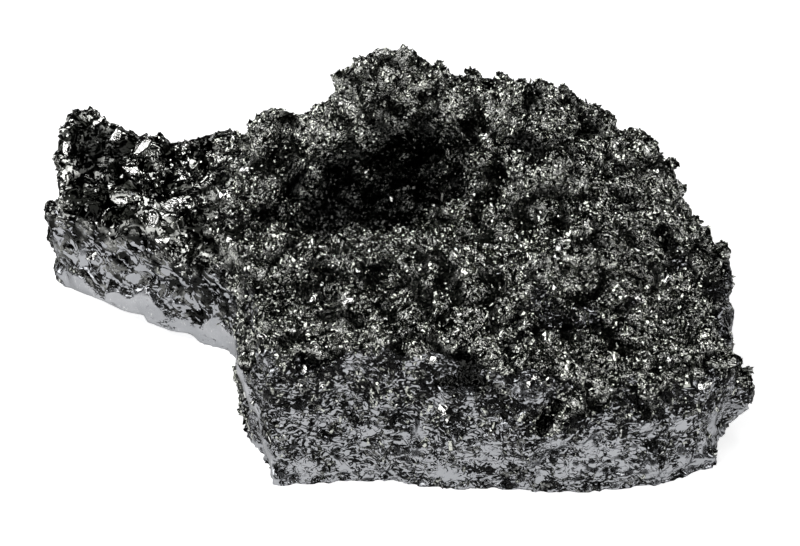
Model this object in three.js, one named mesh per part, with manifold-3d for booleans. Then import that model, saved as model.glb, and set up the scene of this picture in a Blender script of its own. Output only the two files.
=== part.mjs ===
// A raw lump of polycrystalline boron, broken from an ingot: a thick block with an arm at its left, a rough
// top that climbs to a crest, a deep hollow in front of the crest, and smooth skin curling up under the arm.
// Millimetres, +Z up, the block's front towards -Y. The lump grew as one piece, so it is one mesh.

import * as THREE from "three";
import { mergeVertices } from "three/addons/utils/BufferGeometryUtils.js";
import { ImprovedNoise } from "three/addons/math/ImprovedNoise.js";
import { MeshSurfaceSampler } from "three/addons/math/MeshSurfaceSampler.js";
import Module from "manifold-3d";

const wasm = await Module();
wasm.setup();

// Driving dimensions.
const UNEVEN = 0.7; // how far a grid point may stray, as a share of a step
const BURIED = 3; // how far the raw form reaches below the flat foot before the foot is cut at Z = 0
const BURIED_FADE = 4; // it stops reaching below within a quarter of the arm
const SHOULDER = 3.2; // rounding between the top and the walls
const GRID = { along: 58, across: 33, up: 7 }; // steps of the raw form's surface grid

// The outline in plan, left end to right end, as [x, y]: once along the front and once along the back.
const FRONT_OUTLINE = [
  [-28.4, 9.4], // end of the arm
  [-27.4, 7.0],
  [-25.0, 5.4],
  [-20.0, 4.4],
  [-15.4, 3.7],
  [-13.6, 2.2], // inner corner, where the arm meets the block
  [-12.9, -2.0],
  [-12.2, -8.0],
  [-10.3, -13.0],
  [-9.2, -16.2],
  [-8.0, -16.8], // the block's front left corner
  [-2.0, -16.6],
  [6.0, -17.0],
  [12.3, -18.2],
  [18.0, -16.8],
  [22.6, -14.6],
  [24.6, -11.0],
  [26.0, -6.0], // right end
];
const BACK_OUTLINE = [
  [-28.6, 16.0],
  [-27.0, 17.8],
  [-22.0, 18.8],
  [-12.0, 18.4],
  [0.0, 20.0],
  [10.0, 19.4],
  [18.0, 16.0],
  [22.6, 9.5],
  [25.6, 2.0],
];
const OUTLINE_TENSION = 0.35; // keeps the outline's corners fairly tight

// The arm's smooth skin lifts off the ground towards the arm's end, in two sheets with a step between them,
// and curls in under the arm.
const ARM = { root: -13.5, end: -28.5, lift: 2.3, stepAt: -18.4, stepWide: 0.5, stepHigh: 0.7 };
const CURL = { depth: 0.22, top: 0.42 }; // how far the front and back draw in, up to this share of the height

// Heights of the top, as [x, y, z]. A height is felt about as far round itself as its list's reach.
const CREST_REACH = 2.0;
const CREST = [
  [-28.2, 12, 17.0],
  [-25.5, 12, 19.2],
  [-22.8, 12, 19.0],
  [-20.2, 11.5, 15.5],
  [-17.6, 11, 11.4],
  [-15, 10, 13.6],
  [-13, 9, 15.5],
  [-11, 9, 19.3],
  [-8.8, 9, 19.8],
  [-6.6, 9, 16.6],
  [-4.9, 8.4, 24.6],
  [-2.4, 8, 26.1],
  [0.3, 8, 27.4],
  [3.8, 8, 25.1],
  [7.6, 8, 23.6],
  [11.2, 8, 22.8],
  [14.6, 8, 22.2],
  [17.6, 7, 19.7],
  [20, 6, 19.7],
  [21.6, 5, 14.6],
  [22.8, 3.6, 9.0],
  [24, 2, 11.4],
  [24.8, -1, 10.6],
];
const SLOPE_REACH = 3.4;
const SLOPES = [
  // the arm
  [-27, 7, 13.6],
  [-23, 7, 12.6],
  [-18, 6, 12.6],
  [-21, 16, 12.4],
  // behind the crest
  [-20, 13, 13.6],
  [-12, 14, 14.0],
  [-7, 13, 16.6],
  [-2, 12.6, 21.4],
  [5, 12.6, 20.2],
  [12, 12, 18.8],
  [18, 10, 15.4],
  [-3, 17.5, 16.4],
  [7, 17.5, 15.4],
  [16, 14, 12.8],
  [22, 8, 10.2],
  // round the hollow
  [-11, 3.4, 12.4],
  [-5, 4, 12.4],
  [1, 4.4, 13.6],
  [-10, -2, 12.8],
  [-4, -2, 14.0],
  [2, -2.0, 15.8],
  [7.5, 1.5, 19.6],
  // the slope below the crest, and the block's front shoulder
  [12, 2, 19.2],
  [18, 1, 15.6],
  [6, -7, 15.2],
  [13, -5, 15.8],
  [20, -5, 12.2],
  [-9, -12, 11.8],
  [-1, -13, 11.6],
  [7, -14, 11.0],
  [13, -14, 9.8],
  [19, -13, 8.4],
  [23, -8, 7.6],
];
const FAR_WEIGHT = 1e-4; // lets the nearest heights decide where no height is within reach

// Surface relief, coarse to fine: rolling swells, ripples, and the round nodules the grains have grown into.
const SWELL = { height: 0.8, length: 7.5 };
const RIPPLE = { height: 0.45, length: 2.9 };
const NODULE = { height: 1.9, spacing: 2.9, middle: 0.64 };

// Lumps that bulge out of the ends, as [x, y, z, radius].
const LUMPS = [
  [25.2, -8.8, 3.8, 2.1],
  [19.4, 5.8, 15.6, 1.9],
  [-27.2, 10.2, 8.6, 2.3],
];
const LUMP_DETAIL = 1;

// Crystals with flat faces, standing out of the arm and the block's walls: shape, and how deep they sit.
const CRYSTALS = { count: 100, seed: 5, long: 1.5, wide: 0.8, thick: 0.7, smallest: 0.6, sunk: 0.25 };
const CRYSTAL_ZONE = { armUpTo: -12, wallsOutTo: -14 }; // up to this x on the arm, beyond this y on the front

// Fracture faces where the lump was broken off, as a point on the face and the way it faces.
const FRACTURES = [
  { at: [-28.9, 12, 10], facing: [-1, -0.2, 0.06] },
  { at: [-17, 17.8, 8], facing: [-0.16, 1, 0.2] },
  { at: [14, 17.3, 8], facing: [0.42, 1, 0.12] },
];
const FOOT = { at: [0, 0, 0], facing: [0, 0, -1] };
const FRACTURE_BLOCK = 80; // edge of the block of space that each fracture takes away

// Hollows and pits, as ellipsoids to carve away: middle, radii, and roll about Y and turn about Z in degrees.
const HOLLOWS = [
  // the deep hollow in front of the crest, and the groove that runs from it to the left
  { at: [1.4, 3.0, 15.4], radii: [4.8, 4.2, 4.4], turn: 12, roll: 0, detail: 4 },
  { at: [-3.4, 2.8, 14.4], radii: [5.4, 3.8, 3.7], turn: 6, roll: -10, detail: 3 },
  { at: [-9.2, 2.8, 13.2], radii: [4.2, 1.9, 2.0], turn: 4, roll: 0, detail: 2 },
  // the bite at the arm's upper end
  { at: [-24.4, 8.6, 15.2], radii: [1.7, 1.6, 1.5], turn: 0, roll: 20, detail: 1 },
  // pits in the front wall's upper edge and in the slope above
  { at: [4.4, -16.6, 9.6], radii: [1.6, 1.2, 0.9], turn: 0, roll: 15, detail: 1 },
  { at: [9.6, 2.2, 19.4], radii: [1.2, 1.0, 1.2], turn: 0, roll: 0, detail: 1 },
];
const SKIN = { relief: 0.35, high: 5.0 }; // near the ground the smooth skin has only this share of the relief
const HOLLOW_RELIEF = { height: 0.7, length: 2.4 };

const HASH = { x: 73856093, y: 19349663, z: 83492791, channel: 60493 };
const noise = new ImprovedNoise();

/** The geometry with its shared vertices joined, and with nothing but their places. */
function joined(geometry) {
  const bare = geometry.clone();
  bare.deleteAttribute("normal");
  bare.deleteAttribute("uv");
  return mergeVertices(bare, 1e-4);
}

/** A closed three.js geometry as a manifold-3d solid. */
function toSolid(geometry) {
  const merged = joined(geometry);
  return new wasm.Manifold(
    new wasm.Mesh({
      numProp: 3,
      vertProperties: merged.attributes.position.array,
      triVerts: new Uint32Array(merged.index.array),
    }),
  );
}

/** A manifold-3d solid as a three.js geometry. */
function toGeometry(solid) {
  const { numProp, vertProperties, triVerts, numVert } = solid.getMesh();
  const position = new Float32Array(numVert * 3);
  for (let i = 0; i < numVert; i++) {
    position.set(vertProperties.subarray(i * numProp, i * numProp + 3), i * 3);
  }
  const geometry = new THREE.BufferGeometry();
  geometry.setAttribute("position", new THREE.BufferAttribute(position, 3));
  geometry.setIndex(new THREE.BufferAttribute(triVerts, 1));
  return geometry;
}

/** A plan outline as a smooth curve through its points. */
function outlineCurve(points) {
  const at = points.map(([x, y]) => new THREE.Vector3(x, y, 0));
  return new THREE.CatmullRomCurve3(at, false, "catmullrom", OUTLINE_TENSION);
}

/** The height of the top above the ground at a place in plan: a blend of the heights listed round it. */
function topHeight(x, y) {
  let sum = 0;
  let weights = 0;
  for (const [heights, reach] of [[CREST, CREST_REACH], [SLOPES, SLOPE_REACH]]) {
    for (const [hx, hy, hz] of heights) {
      const away = ((x - hx) ** 2 + (y - hy) ** 2) / reach ** 2;
      const weight = Math.exp(-away) + FAR_WEIGHT / (1 + away * away);
      sum += hz * weight;
      weights += weight;
    }
  }
  return sum / weights;
}

/** How far along the arm a place is, from 0 at its root to 1 at its end. */
function alongArm(x) {
  return THREE.MathUtils.clamp((ARM.root - x) / (ARM.root - ARM.end), 0, 1);
}

/** The height of the underside above the ground. */
function underside(x) {
  const arm = alongArm(x);
  const buried = BURIED * Math.max(0, 1 - arm * BURIED_FADE);
  const step = ARM.stepHigh * THREE.MathUtils.smoothstep(ARM.stepAt - x, 0, ARM.stepWide);
  return ARM.lift * arm + step - buried;
}

/** A repeatable number from 0 to 1 for the cell x, y, z of a grid, another one for each channel. */
function chance(x, y, z, channel) {
  const cell = Math.imul(x, HASH.x) ^ Math.imul(y, HASH.y) ^ Math.imul(z, HASH.z);
  return THREE.MathUtils.seededRandom(cell ^ Math.imul(channel, HASH.channel));
}

/** A point of the unit box's surface moved a little within that surface, which makes the facets uneven. */
function unsettle(point) {
  const steps = [GRID.along, GRID.across, GRID.up];
  const step = point.toArray().map((share, axis) => Math.round(share * steps[axis]));
  steps.forEach((count, axis) => {
    if (step[axis] > 0 && step[axis] < count) {
      const share = (step[axis] + UNEVEN * (chance(...step, axis) - 0.5)) / count;
      point.setComponent(axis, share);
    }
  });
  return point;
}

/** The lump before its relief: a box whose sides follow the outline and whose top follows the heights. */
function rawForm() {
  const front = outlineCurve(FRONT_OUTLINE);
  const back = outlineCurve(BACK_OUTLINE);
  const length = front.getLength();
  const box = new THREE.BoxGeometry(1, 1, 1, GRID.along, GRID.across, GRID.up);
  const position = box.attributes.position;
  const here = new THREE.Vector3();
  const ahead = new THREE.Vector3();
  const behind = new THREE.Vector3();
  for (let i = 0; i < position.count; i++) {
    here.fromBufferAttribute(position, i).addScalar(0.5);
    const { x: along, y: across, z: up } = unsettle(here);
    front.getPointAt(along, ahead);
    back.getPointAt(along, behind);
    const width = ahead.distanceTo(behind);
    const low = Math.max(0, 1 - up / CURL.top);
    const curl = 1 - CURL.depth * alongArm(ahead.x) * low * low;
    here.lerpVectors(ahead, behind, 0.5 + (across - 0.5) * curl);
    const fromSide = width * Math.min(across, 1 - across);
    const fromEnd = length * Math.min(along, 1 - along);
    const sunk = Math.max(0, 1 - Math.min(fromSide, fromEnd) / SHOULDER);
    const top = topHeight(here.x, here.y) - SHOULDER * (1 - Math.sqrt(1 - sunk * sunk));
    const ground = underside(here.x);
    position.setXYZ(i, here.x, here.y, ground + (top - ground) * up);
  }
  return joined(box);
}

/** Rounded nodules packed side by side: 1 on top of a nodule, down to 0 in the creases. */
function nodules(point, spacing) {
  const cell = point.clone().divideScalar(spacing);
  const base = cell.clone().floor();
  const middle = new THREE.Vector3();
  let nearest = 1;
  for (let dx = -1; dx <= 1; dx++) {
    for (let dy = -1; dy <= 1; dy++) {
      for (let dz = -1; dz <= 1; dz++) {
        const [x, y, z] = [base.x + dx, base.y + dy, base.z + dz];
        middle.set(x + chance(x, y, z, 1), y + chance(x, y, z, 2), z + chance(x, y, z, 3));
        nearest = Math.min(nearest, middle.distanceToSquared(cell));
      }
    }
  }
  return 1 - nearest;
}

/** Noise from about -1 to 1 whose swells are `length` long. */
function swell(point, length) {
  return 2 * noise.noise(point.x / length, point.y / length, point.z / length);
}

/** The rough surface of the lump as a height above its raw form. */
function lumpRelief(point) {
  const above = point.z - Math.max(0, underside(point.x));
  const share = THREE.MathUtils.lerp(SKIN.relief, 1, THREE.MathUtils.smoothstep(above, 0, SKIN.high));
  const relief =
    SWELL.height * swell(point, SWELL.length) +
    RIPPLE.height * swell(point, RIPPLE.length) +
    NODULE.height * (nodules(point, NODULE.spacing) - NODULE.middle);
  return share * relief;
}

/** Pushes every vertex in or out along its normal by the relief there. */
function addRelief(geometry, relief) {
  const rough = joined(geometry);
  rough.computeVertexNormals();
  const { position, normal } = rough.attributes;
  const point = new THREE.Vector3();
  const out = new THREE.Vector3();
  for (let i = 0; i < position.count; i++) {
    point.fromBufferAttribute(position, i);
    out.fromBufferAttribute(normal, i);
    point.addScaledVector(out, relief(point));
    position.setXYZ(i, point.x, point.y, point.z);
  }
  return rough;
}

/** The flat-faced crystals, each a stretched octahedron turned its own way, scattered over their zone. */
function crystals(surface) {
  const random = THREE.MathUtils.seededRandom;
  random(CRYSTALS.seed);
  const sampler = new MeshSurfaceSampler(new THREE.Mesh(surface));
  sampler.setRandomGenerator(random).build();
  const found = [];
  const at = new THREE.Vector3();
  const out = new THREE.Vector3();
  for (let i = 0; i < CRYSTALS.count; i++) {
    sampler.sample(at, out);
    const size = THREE.MathUtils.lerp(CRYSTALS.smallest, 1, random());
    const turns = [random(), random(), random()].map((share) => share * Math.PI);
    at.addScaledVector(out, -size * CRYSTALS.sunk);
    const inZone = at.x < CRYSTAL_ZONE.armUpTo || at.y < CRYSTAL_ZONE.wallsOutTo;
    if (inZone && at.z > BURIED) {
      const crystal = new THREE.OctahedronGeometry(size)
        .scale(CRYSTALS.long, CRYSTALS.wide, CRYSTALS.thick)
        .rotateX(turns[0])
        .rotateY(turns[1])
        .rotateZ(turns[2])
        .translate(at.x, at.y, at.z);
      found.push(toSolid(crystal));
    }
  }
  return found;
}

/** What a fracture, or the flat foot, takes away: the block of space beyond its face. */
function fractured({ at, facing }) {
  const way = new THREE.Vector3(...facing).normalize();
  const turn = new THREE.Quaternion().setFromUnitVectors(new THREE.Vector3(0, 0, 1), way);
  const block = new THREE.BoxGeometry(FRACTURE_BLOCK, FRACTURE_BLOCK, FRACTURE_BLOCK)
    .translate(0, 0, FRACTURE_BLOCK / 2)
    .applyQuaternion(turn)
    .translate(...at);
  return toSolid(block);
}

/** A rounded lump as rough as the rest of the surface. */
function lump([x, y, z, radius]) {
  const ball = new THREE.IcosahedronGeometry(radius, LUMP_DETAIL).translate(x, y, z);
  return toSolid(addRelief(ball, lumpRelief));
}

/** The space of a hollow or pit. */
function hollow({ at, radii, turn, roll, detail }) {
  const ball = new THREE.IcosahedronGeometry(1, detail)
    .scale(...radii)
    .rotateY(THREE.MathUtils.degToRad(roll))
    .rotateZ(THREE.MathUtils.degToRad(turn))
    .translate(...at);
  return toSolid(addRelief(ball, (point) => HOLLOW_RELIEF.height * swell(point, HOLLOW_RELIEF.length)));
}

/** The largest of the pieces that a solid has been cut into: slivers fall off. */
function largest(solid) {
  return solid.decompose().reduce((best, piece) => (piece.volume() > best.volume() ? piece : best));
}

let solid = toSolid(addRelief(rawForm(), lumpRelief));
for (const fracture of FRACTURES) {
  solid = solid.subtract(fractured(fracture));
}
for (const bulge of LUMPS) {
  solid = solid.add(lump(bulge));
}
for (const shape of HOLLOWS) {
  solid = solid.subtract(hollow(shape));
}
for (const crystal of crystals(toGeometry(solid))) {
  solid = solid.add(crystal);
}
solid = largest(solid.subtract(fractured(FOOT)));

// The row's origin is under the middle of the lump, on the ground.
const geometry = toGeometry(solid);
geometry.computeBoundingBox();
const middle = geometry.boundingBox.getCenter(new THREE.Vector3());
geometry.translate(-middle.x, -middle.y, 0);

const boron = new THREE.MeshStandardMaterial({ color: 0x3a3b3f, roughness: 0.28, metalness: 1 });
const chunk = new THREE.Mesh(geometry, boron);
chunk.name = "boron_chunk";

const part = new THREE.Group();
part.add(chunk);
export default part;
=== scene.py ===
"""A raw lump of polycrystalline boron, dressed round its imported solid.

The lump's body is a fine skin over the solid. It is smooth and pitted where the metal froze
against the mould, and split into flat cleavage faces on the arm. Everywhere else it is sunk a
little, and crystals of three forms are grown on it.
"""

import logging
import math
from contextlib import contextmanager
from dataclasses import dataclass
from enum import Enum
from functools import reduce
from typing import Iterator

import bmesh
import bpy
import numpy as np
from mathutils import Matrix, Vector
from mathutils.bvhtree import BVHTree


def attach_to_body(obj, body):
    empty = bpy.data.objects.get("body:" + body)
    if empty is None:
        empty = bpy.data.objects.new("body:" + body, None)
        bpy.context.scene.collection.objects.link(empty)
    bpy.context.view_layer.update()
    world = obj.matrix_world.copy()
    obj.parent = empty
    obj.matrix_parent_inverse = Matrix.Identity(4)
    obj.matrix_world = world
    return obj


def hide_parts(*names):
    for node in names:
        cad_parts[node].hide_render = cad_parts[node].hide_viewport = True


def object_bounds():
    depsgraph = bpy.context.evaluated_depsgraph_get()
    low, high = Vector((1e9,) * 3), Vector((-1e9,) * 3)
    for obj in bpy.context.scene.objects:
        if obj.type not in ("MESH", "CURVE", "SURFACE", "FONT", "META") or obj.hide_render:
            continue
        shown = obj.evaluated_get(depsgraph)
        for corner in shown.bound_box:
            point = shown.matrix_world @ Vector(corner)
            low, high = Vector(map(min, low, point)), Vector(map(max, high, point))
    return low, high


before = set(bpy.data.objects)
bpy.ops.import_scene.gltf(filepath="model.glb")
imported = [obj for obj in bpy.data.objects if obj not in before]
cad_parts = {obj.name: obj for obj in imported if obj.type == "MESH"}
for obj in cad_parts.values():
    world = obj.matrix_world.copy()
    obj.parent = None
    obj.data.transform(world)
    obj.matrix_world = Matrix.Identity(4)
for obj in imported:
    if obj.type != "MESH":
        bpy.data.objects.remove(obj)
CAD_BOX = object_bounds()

log = logging.getLogger("boron")

MM = 0.001
NODE = "boron_chunk"
BODY = "root"

Material = bpy.types.Material
Mesh = bpy.types.Mesh
Node = bpy.types.Node
Object = bpy.types.Object
Socket = bpy.types.NodeSocket
Tree = bpy.types.NodeTree
Span = tuple[float, float]
Point = tuple[float, float, float]
Round = tuple[Point, Point, float]
Colour = tuple[float, float, float, float]
Look = dict[str | int, object]


class Mask(Enum):
    """The point attributes that say what the surface is like at a place.

    SKIN is 1 where the metal froze against the mould, COARSE where it split into large faces,
    CRUST off the flat foot, SHELTER where the colour is darkened as painted shade deep in a
    hollow, in a pit of the front wall and faintly over the front slope, GAP in the clefts between
    nodules, where the colour is darkened as painted shade and fewer crystals grow, and FLAT on
    polished patches. REST is the place before the surface was broken up.
    """

    SKIN = "skin"
    COARSE = "coarse"
    CRUST = "crust"
    SHELTER = "shelter"
    GAP = "gap"
    FLAT = "flat"
    REST = "rest"


# ---- the lump's landmarks ----


def smooth(value: np.ndarray, low: float, high: float) -> np.ndarray:
    """Rises smoothly from 0 at low to 1 at high, or falls where high is the lower one."""
    share = np.clip((value - low) / (high - low), 0.0, 1.0)
    return share * share * (3.0 - 2.0 * share)


def wave(places: np.ndarray, high: float, turns: Point, phase: float = 0.0) -> np.ndarray:
    """A wave through space, by its height, its radians a millimetre along each axis and phase."""
    x, y, z = places.T
    return high * np.sin(turns[0] * x + turns[1] * y + turns[2] * z + phase)


# Each span says where something starts and where it is full: along X, as a height, along a part
# of the normal, or as a share of an ellipsoid's radii.
ARM = (-11.9, -26.9)
ONTO_ARM = (-9.9, -11.9)
ARM_LIFT = 2.3
ARM_STEP, ARM_STEP_HIGH = (-16.8, -17.3), 0.7
ARM_SKIN_HIGH, ARM_SKIN_EDGE = 3.1, 1.6
ARM_SKIN_LEFT = (-27.5, -25.7)
ARM_WANDER = ((0.7, (0.9, 0, 0), 0.4), (0.5, (2.3, 0, 0), 1.7))
ARM_SPOTS, SPOTS_HIGH, FACING_FRONT = 0.62, (11.5, 5.0), (-0.2, 0.3)
WALL_STEEP = (0.75, 0.35)
WALL_TOP, WALL_OVER, WALL_UNDER = 11.3, 1.6, -0.6
WALL_WANDER = ((1.1, (0.55, 0, 0), 1.1), (0.8, (1.7, 0, 0)))
WALL_FLAT, WALL_FOOT_FLAT, WALL_FOOT = 0.54, 0.12, (7.5, 2.5)
WALL_CLOUD = ((0.06, (1.3, 0, 0.6), 1.0), (1.0, (0.6, 0, -1.4), 0.5))
TO_COARSE = (-9.0, -15.0)
ON_FOOT = (0.12, 0.05)
SEAM_HALF = 0.33
SLAB_STEP, SLAB_FADE, SLAB_DEEP, SLAB_THICK = (-19.6, -19.2), (-15.2, -18.1), 0.6, (2.4, 0.96)
ROUND_EDGE = (1.38, 0.74)
CROOKED = ((0.14, (1.7, 0, 0.9)), (1.0, (0, 1.4, -1.1), 0.8), (0.07, (3.1, -2.3, 0)))


@dataclass(frozen=True)
class Landmarks:
    """Places on the lump that its surface follows, in millimetres in the part's frame.

    Attributes:
        seam: Points along the strip of mould skin at the block's front left corner.
        nudges: Middle and radius of each place that is moved, and how far along X, Y and Z.
        windows: Middle, radii and cleanness of each window of mould skin in the front wall.
        painted_shade_rounds: Middle, radii and darkness of each round of painted shade: deep in a
            hollow where little light gets in, in a pit of the front wall, and faintly over the
            front slope.
    """

    seam: tuple[Point, ...] = (
        (-12.2, -4.0, 3.0), (-11.2, -9.0, 7.2), (-10.2, -12.0, 5.9), (-9.4, -13.2, 4.2),
        (-8.6, -15.6, 2.6), (-7.6, -16.6, 0.2))
    nudges: tuple[tuple[Point, float, Point], ...] = (
        ((-22.9, 10.9, 17.0), 1.5, (0, 0, 0.8)), ((-16.6, 14.6, 14.2), 2.4, (0, 0, -1.5)),
        ((-13.8, 15.7, 14.4), 1.2, (0, 0, -0.8)), ((-7.1, 8.1, 18.2), 1.5, (0, 0, 1.0)),
        ((-5.9, 14.6, 17.0), 2.0, (0, 0, -1.2)), ((-2.8, 7.0, 21.9), 1.1, (0, 0, 0.8)),
        ((3.1, 7.8, 23.3), 1.5, (0, 0, 0.8)), ((4.8, 7.6, 22.6), 1.2, (0, 0, 0.9)),
        ((6.3, 7.4, 22.8), 1.0, (0, 0, -0.6)), ((7.5, 7.0, 23.1), 0.8, (0, 0, 0.35)),
        ((8.55, 6.4, 22.5), 0.9, (0, 0, -1.6)), ((8.55, 7.1, 23.0), 0.9, (0, 0, -1.6)),
        ((8.55, 7.9, 22.7), 0.9, (0, 0, -1.6)), ((10.9, 5.6, 22.3), 1.5, (0, 0, 0.7)),
        ((14.6, 7.0, 20.8), 1.4, (0, 0, 0.7)), ((20.6, 5.2, 17.5), 1.6, (0, 0, 1.2)),
        ((23.1, 4.1, 15.2), 1.5, (0, 0, 1.3)), ((25.2, 5.6, 12.0), 1.5, (-0.6, 0, -0.8)),
        ((26.6, -2.0, 11.3), 1.5, (0, 0, 0.9)), ((27.8, -3.7, 7.2), 2.2, (-0.9, 0, 0)),
        ((27.2, -9.5, 5.9), 1.8, (0.9, 0, 0.5)), ((27.1, -9.8, 1.9), 1.5, (0.9, 0, 0)),
        ((26.2, -11.6, 0.3), 1.2, (-0.5, 0.5, 0)), ((24.5, -13.9, 0.3), 1.8, (0.6, -0.7, 0)),
        ((-7.4, -16.4, 0.3), 1.5, (-0.2, -0.8, 0)), ((-28.5, 9.6, 8.1), 2.2, (0.8, 0, 0)),
        ((-27.0, 10.5, 15.0), 1.8, (0.6, 0, 0)), ((-26.7, 8.8, 3.7), 1.6, (-0.7, 0, 0)),
        ((-27.9, 11.1, 9.7), 1.9, (0.8, 0, -0.5)))
    windows: tuple[Round, ...] = (
        ((5.6, -18.0, 8.1), (1.5, 1.6, 1.0), 0.7), ((15.5, -18.0, 3.4), (2.2, 2.0, 1.2), 0.7),
        ((11.1, -17.7, 8.6), (2.4, 1.8, 1.5), 0.66))
    # Painted shade: each round darkens the colour towards SHADED; the last two only dim the front
    # slope.
    painted_shade_rounds: tuple[Round, ...] = (
        ((3.0, 2.6, 15.0), (5.4, 4.6, 5.4), 1.0), ((-1.6, 2.2, 13.8), (6.4, 4.4, 4.4), 1.0),
        ((-7.6, 2.0, 13.0), (4.4, 2.3, 2.2), 1.0), ((-22.8, 8.6, 15.2), (2.4, 2.0, 2.2), 0.8),
        ((6.0, -17.3, 9.8), (1.5, 1.7, 1.6), 1.0), ((11.2, 1.5, 19.6), (1.3, 1.6, 1.5), 1.0),
        ((-3.2, -8.6, 12.6), (7.5, 5.4, 3.0), 0.3), ((-1.0, -4.5, 13.5), (9.0, 4.5, 3.5), 0.18))

    def underside(self, x: np.ndarray) -> np.ndarray:
        """The height of the lump's underside above the ground at each x."""
        share = np.clip((ARM[0] - x) / (ARM[0] - ARM[1]), 0.0, 1.0)
        return ARM_LIFT * share + ARM_STEP_HIGH * smooth(x, *ARM_STEP)

    def arm_skin(self, places: np.ndarray) -> np.ndarray:
        """How much each place belongs to the mould skin along the arm's underside.

        Args:
            places: The places.

        Returns:
            From 0 to 1 for each.
        """
        x, _, z = places.T
        edge = ARM_SKIN_HIGH + sum(wave(places, *each) for each in ARM_WANDER)
        skin = smooth(z - self.underside(x), edge, edge - ARM_SKIN_EDGE)
        return smooth(x, *ONTO_ARM) * skin * smooth(x, *ARM_SKIN_LEFT)

    def skin(self, places: np.ndarray, normals: np.ndarray) -> np.ndarray:
        """How flat the surface froze against the mould.

        Args:
            places: The surface's points.
            normals: Their normals.

        Returns:
            From 0 to 1 for each, the most that the arm, its spots, the wall, a window or the
            corner's strip gives it.
        """
        x, _, z = places.T
        on_arm = smooth(x, *ONTO_ARM)
        spots = ARM_SPOTS * on_arm * smooth(z - self.underside(x), *SPOTS_HIGH)
        spots *= smooth(-normals[:, 1], *FACING_FRONT)
        broad, across = (wave(places, *each) for each in WALL_CLOUD)
        edge = sum((wave(places, *each) for each in WALL_WANDER), WALL_TOP)
        wall = WALL_FLAT + WALL_FOOT_FLAT * smooth(z, *WALL_FOOT) + broad * across
        outward = smooth(normals[:, 2], *WALL_STEEP) * (1.0 - on_arm)
        wall *= outward * smooth(z, edge + WALL_OVER, edge + WALL_UNDER)
        kinds = [self.arm_skin(places), spots, wall, self.within(places, self.windows),
                 self.on_seam(places)]
        return np.clip(np.maximum.reduce(kinds), 0.0, 1.0)

    def on_seam(self, places: np.ndarray) -> np.ndarray:
        """How much each place belongs to the corner's strip of mould skin.

        Args:
            places: The places.

        Returns:
            From 0 to 1 for each.
        """
        nearest = np.full(len(places), np.inf)
        for start, end in zip(self.seam, self.seam[1:]):
            start, run = np.array(start), np.array(end) - np.array(start)
            along = np.clip((places - start) @ run / (run @ run), 0.0, 1.0)
            away = np.linalg.norm(places - start - along[:, None] * run, axis=1)
            nearest = np.minimum(nearest, away)
        return smooth(nearest, 2.0 * SEAM_HALF, SEAM_HALF)

    def within(self, places: np.ndarray, rounds: tuple[Round, ...]) -> np.ndarray:
        """How much each place lies in any of some ellipsoids with soft and crooked edges.

        Args:
            places: The places.
            rounds: Middle, radii and full share of each ellipsoid.

        Returns:
            The largest share that any of them has in each place.
        """
        broad, across, small = (wave(places, *each) for each in CROOKED)
        crooked = broad * across + small
        deepest = np.zeros(len(places))
        for middle, radii, full in rounds:
            out = (places - np.array(middle)) / np.array(radii)
            out = np.linalg.norm(out, axis=1) + crooked
            deepest = np.maximum(deepest, full * smooth(out, *ROUND_EDGE))
        return deepest


# ---- node shorthand ----


class Edge(Enum):
    """Where each look starts and is full, along the noise, mask or height it is drawn from."""

    ALL = (0.0, 1.0)
    PATCH = (-0.005, 0.009)
    GLASS = (0.54, 0.59)
    LIGHT_GRAIN = (0.447, 0.551)
    KEEN_GRAIN = (0.38, 0.62)
    CLOUD = (0.35, 0.65)
    CLOUDLESS = (0.65, 0.9)
    FROST = (0.62, 0.68)
    FROSTY = (0.7, 0.95)
    BLACK_FACE = (0.72, 0.76)
    WHOLE_FACE = (0.4, 0.44)
    # Where the pits' painted shade comes in, along the skin mask.
    PITTED = (0.2, 0.36)
    PIT_SPECK = (0.54, 0.6)
    WORN = (0.3, 0.7)
    CLEFT = (0.42, 0.68)
    LESS_ROUGH = (0.25, 0.7)
    LESS_WAVY = (0.7, 0.85)
    OFF_FOOT = (0.02 * MM, 0.4 * MM)
    CHIP = (0.44, 0.6)
    OVER_CHIPS = (0.3 * MM, 1.1 * MM)
    OVERGROWN = (0.3, 0.6)
    HORIZON = (0.0, 0.14)


@dataclass(frozen=True)
class Noise:
    """A noise texture: its blobs' width in millimetres, their detail, roughness and curl."""

    size: float
    detail: float = 2.0
    rough: float = 0.5
    curl: float = 0.0


FINE_WORMS = Noise(0.55, 2.5, 0.62, 1.1)
LARGE_WORMS = Noise(1.1, 3.0, 0.6, 0.9)
BLOTCHES = Noise(1.7, 2.0, 0.55)
GLASS = Noise(3.0, 2.0, 0.5, 0.4)
GRAIN_DRIFTS = Noise(2.2, 3.0, 0.6)
GRAIN_SPECKS = Noise(0.4, 1.0, 0.5, 0.8)
CLOUDS = Noise(2.6, 4.0, 0.6)
STREAKS = Noise(0.5, 3.0, 0.7, 1.6)
PIT_SPECKS = Noise(0.38, 1.0, 0.5, 1.0)
WEAR = Noise(1.1, 3.0, 0.6)
RIPPLES = Noise(1.3)
CRUMBS = Noise(0.62, 1.5)
CHIPS = Noise(1.3, 2.0, 0.6)
BUNDLES = Noise(1.6, 1.0)
CREASES, CREASE_DEPTH = Noise(1.0, 1.5, 0.55, 0.7), 1.5
WORM_STRETCH = (0.75, 0.75, 1.25)
WORM_SLANT = ((0.8, 0.0, 0.0), (0.0, 0.8, 0.0), (0.5, 0.0, 1.1))
WIDEST_PIT, NARROWEST_PIT, BLOTCHY = 0.26, -0.035, 0.27
SPECK_SHARE = 0.75
HALF = 0.5
HALVES = (HALF, HALF, HALF)
GEOMETRY = {"Geometry": "Geometry"}


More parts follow.
